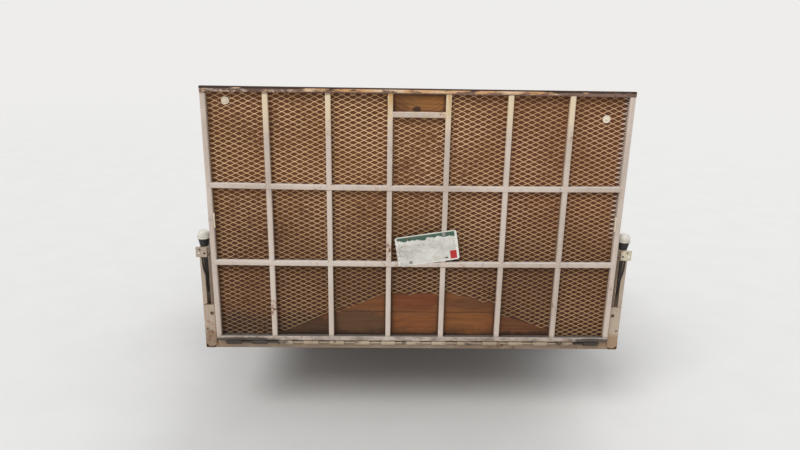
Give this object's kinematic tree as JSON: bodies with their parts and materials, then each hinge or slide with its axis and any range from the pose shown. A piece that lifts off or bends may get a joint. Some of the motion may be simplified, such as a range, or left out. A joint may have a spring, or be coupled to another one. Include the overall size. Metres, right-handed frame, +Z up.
{
  "type": "utility trailer",
  "caption": "Open utility trailer with a plank bed, low open sides, an A-frame tongue with a jack and a full-width ramp gate of square tube, mesh and plywood.",
  "frame": {"origin": "on the floor below the middle of the whole trailer's box", "axes": "+Y towards the tongue, -Y towards the ramp gate, +Z up, +X to the right when facing the tongue"},
  "size_m": [2.592, 4.9109, 1.775],
  "materials": {
    "frame_paint": "cream paint, dulled, chalky and flecked with rust",
    "gate_paint": "cream paint over square steel tube, with rust at welds and edges and a rusty brown top rail",
    "mesh_paint": "cream paint on expanded steel mesh, yellowed and rusting",
    "planks": "weathered softwood boards, grey brown",
    "plywood": "weathered plywood, orange brown, stained dark along its lower edge",
    "boot_rubber": "black rubber, dusty",
    "lamp_plastic": "white plastic, a little yellowed",
    "wire_plastic": "black plastic sheath",
    "coupler_steel": "dark grey steel, worn and rusting",
    "jack_steel": "zinc plated steel, dulled",
    "axle_steel": "black paint, dusty and rusting",
    "spring_steel": "dark spring steel with surface rust",
    "fender_paint": "cream paint, chalky",
    "hinge_steel": "cream paint worn through to brown rust",
    "tyre": "black rubber, dusty",
    "rim_paint": "white paint with rust round the studs",
    "hub_steel": "dull zinc and steel",
    "bolt_steel": "cream paint over steel",
    "tag_metal": "white painted sheet, blank"
  },
  "bodies": {
    "trailer": {"side_rail_left": "frame_paint", "side_rail_right": "frame_paint", "rear_rail": "frame_paint", "front_rail": "frame_paint", "cross_members": "frame_paint", "deck_planks": "planks", "side_posts_left": "frame_paint", "side_posts_right": "frame_paint", "front_posts": "frame_paint", "top_rail_left": "frame_paint", "top_rail_right": "frame_paint", "top_rail_front": "frame_paint", "corner_post_left": "frame_paint", "corner_post_right": "frame_paint", "lamp_boot_left": "boot_rubber", "lamp_boot_right": "boot_rubber", "marker_lamp_left": "lamp_plastic", "marker_lamp_right": "lamp_plastic", "lamp_wires_left": "wire_plastic", "lamp_wires_right": "wire_plastic", "tongue_channel_left": "frame_paint", "tongue_channel_right": "frame_paint", "coupler": "coupler_steel", "jack_tube": "jack_steel", "jack_crank": "jack_steel", "axle": "axle_steel", "leaf_spring_left": "spring_steel", "leaf_spring_right": "spring_steel", "spring_hangers_left": "axle_steel", "spring_hangers_right": "axle_steel", "spring_clamp_left": "axle_steel", "spring_clamp_right": "axle_steel", "fender_left": "fender_paint", "fender_right": "fender_paint", "rail_knuckles": "hinge_steel", "hinge_pin": "hinge_steel"},
    "gate": {"gate_frame": "gate_paint", "gate_mesh": "mesh_paint", "gate_plywood": "plywood", "gate_fittings": "bolt_steel", "gate_tag": "tag_metal", "gate_knuckles": "hinge_steel"},
    "wheel_left": {"tyre_left": "tyre", "rim_left": "rim_paint", "hub_left": "hub_steel"},
    "wheel_right": {"tyre_right": "tyre", "rim_right": "rim_paint", "hub_right": "hub_steel"},
    "jack_foot": {"jack_leg": "jack_steel"}
  },
  "joints": [
    {"name": "gate_hinge", "type": "hinge", "parent": "trailer", "child": "gate", "pos_m": [0, -2.43675, 0.4913], "axis": [1, 0, 0], "range_deg": [0, 111]},
    {"name": "wheel_left_spin", "type": "hinge", "parent": "trailer", "child": "wheel_left", "pos_m": [-1.1825, -0.95955, 0.345], "axis": [1, 0, 0], "continuous": true},
    {"name": "wheel_right_spin", "type": "hinge", "parent": "trailer", "child": "wheel_right", "pos_m": [1.1825, -0.95955, 0.345], "axis": [1, 0, 0], "continuous": true},
    {"name": "jack_slide", "type": "slide", "parent": "trailer", "child": "jack_foot", "axis": [0, 0, 1], "range_m": [0, 0.25]}
  ]
}
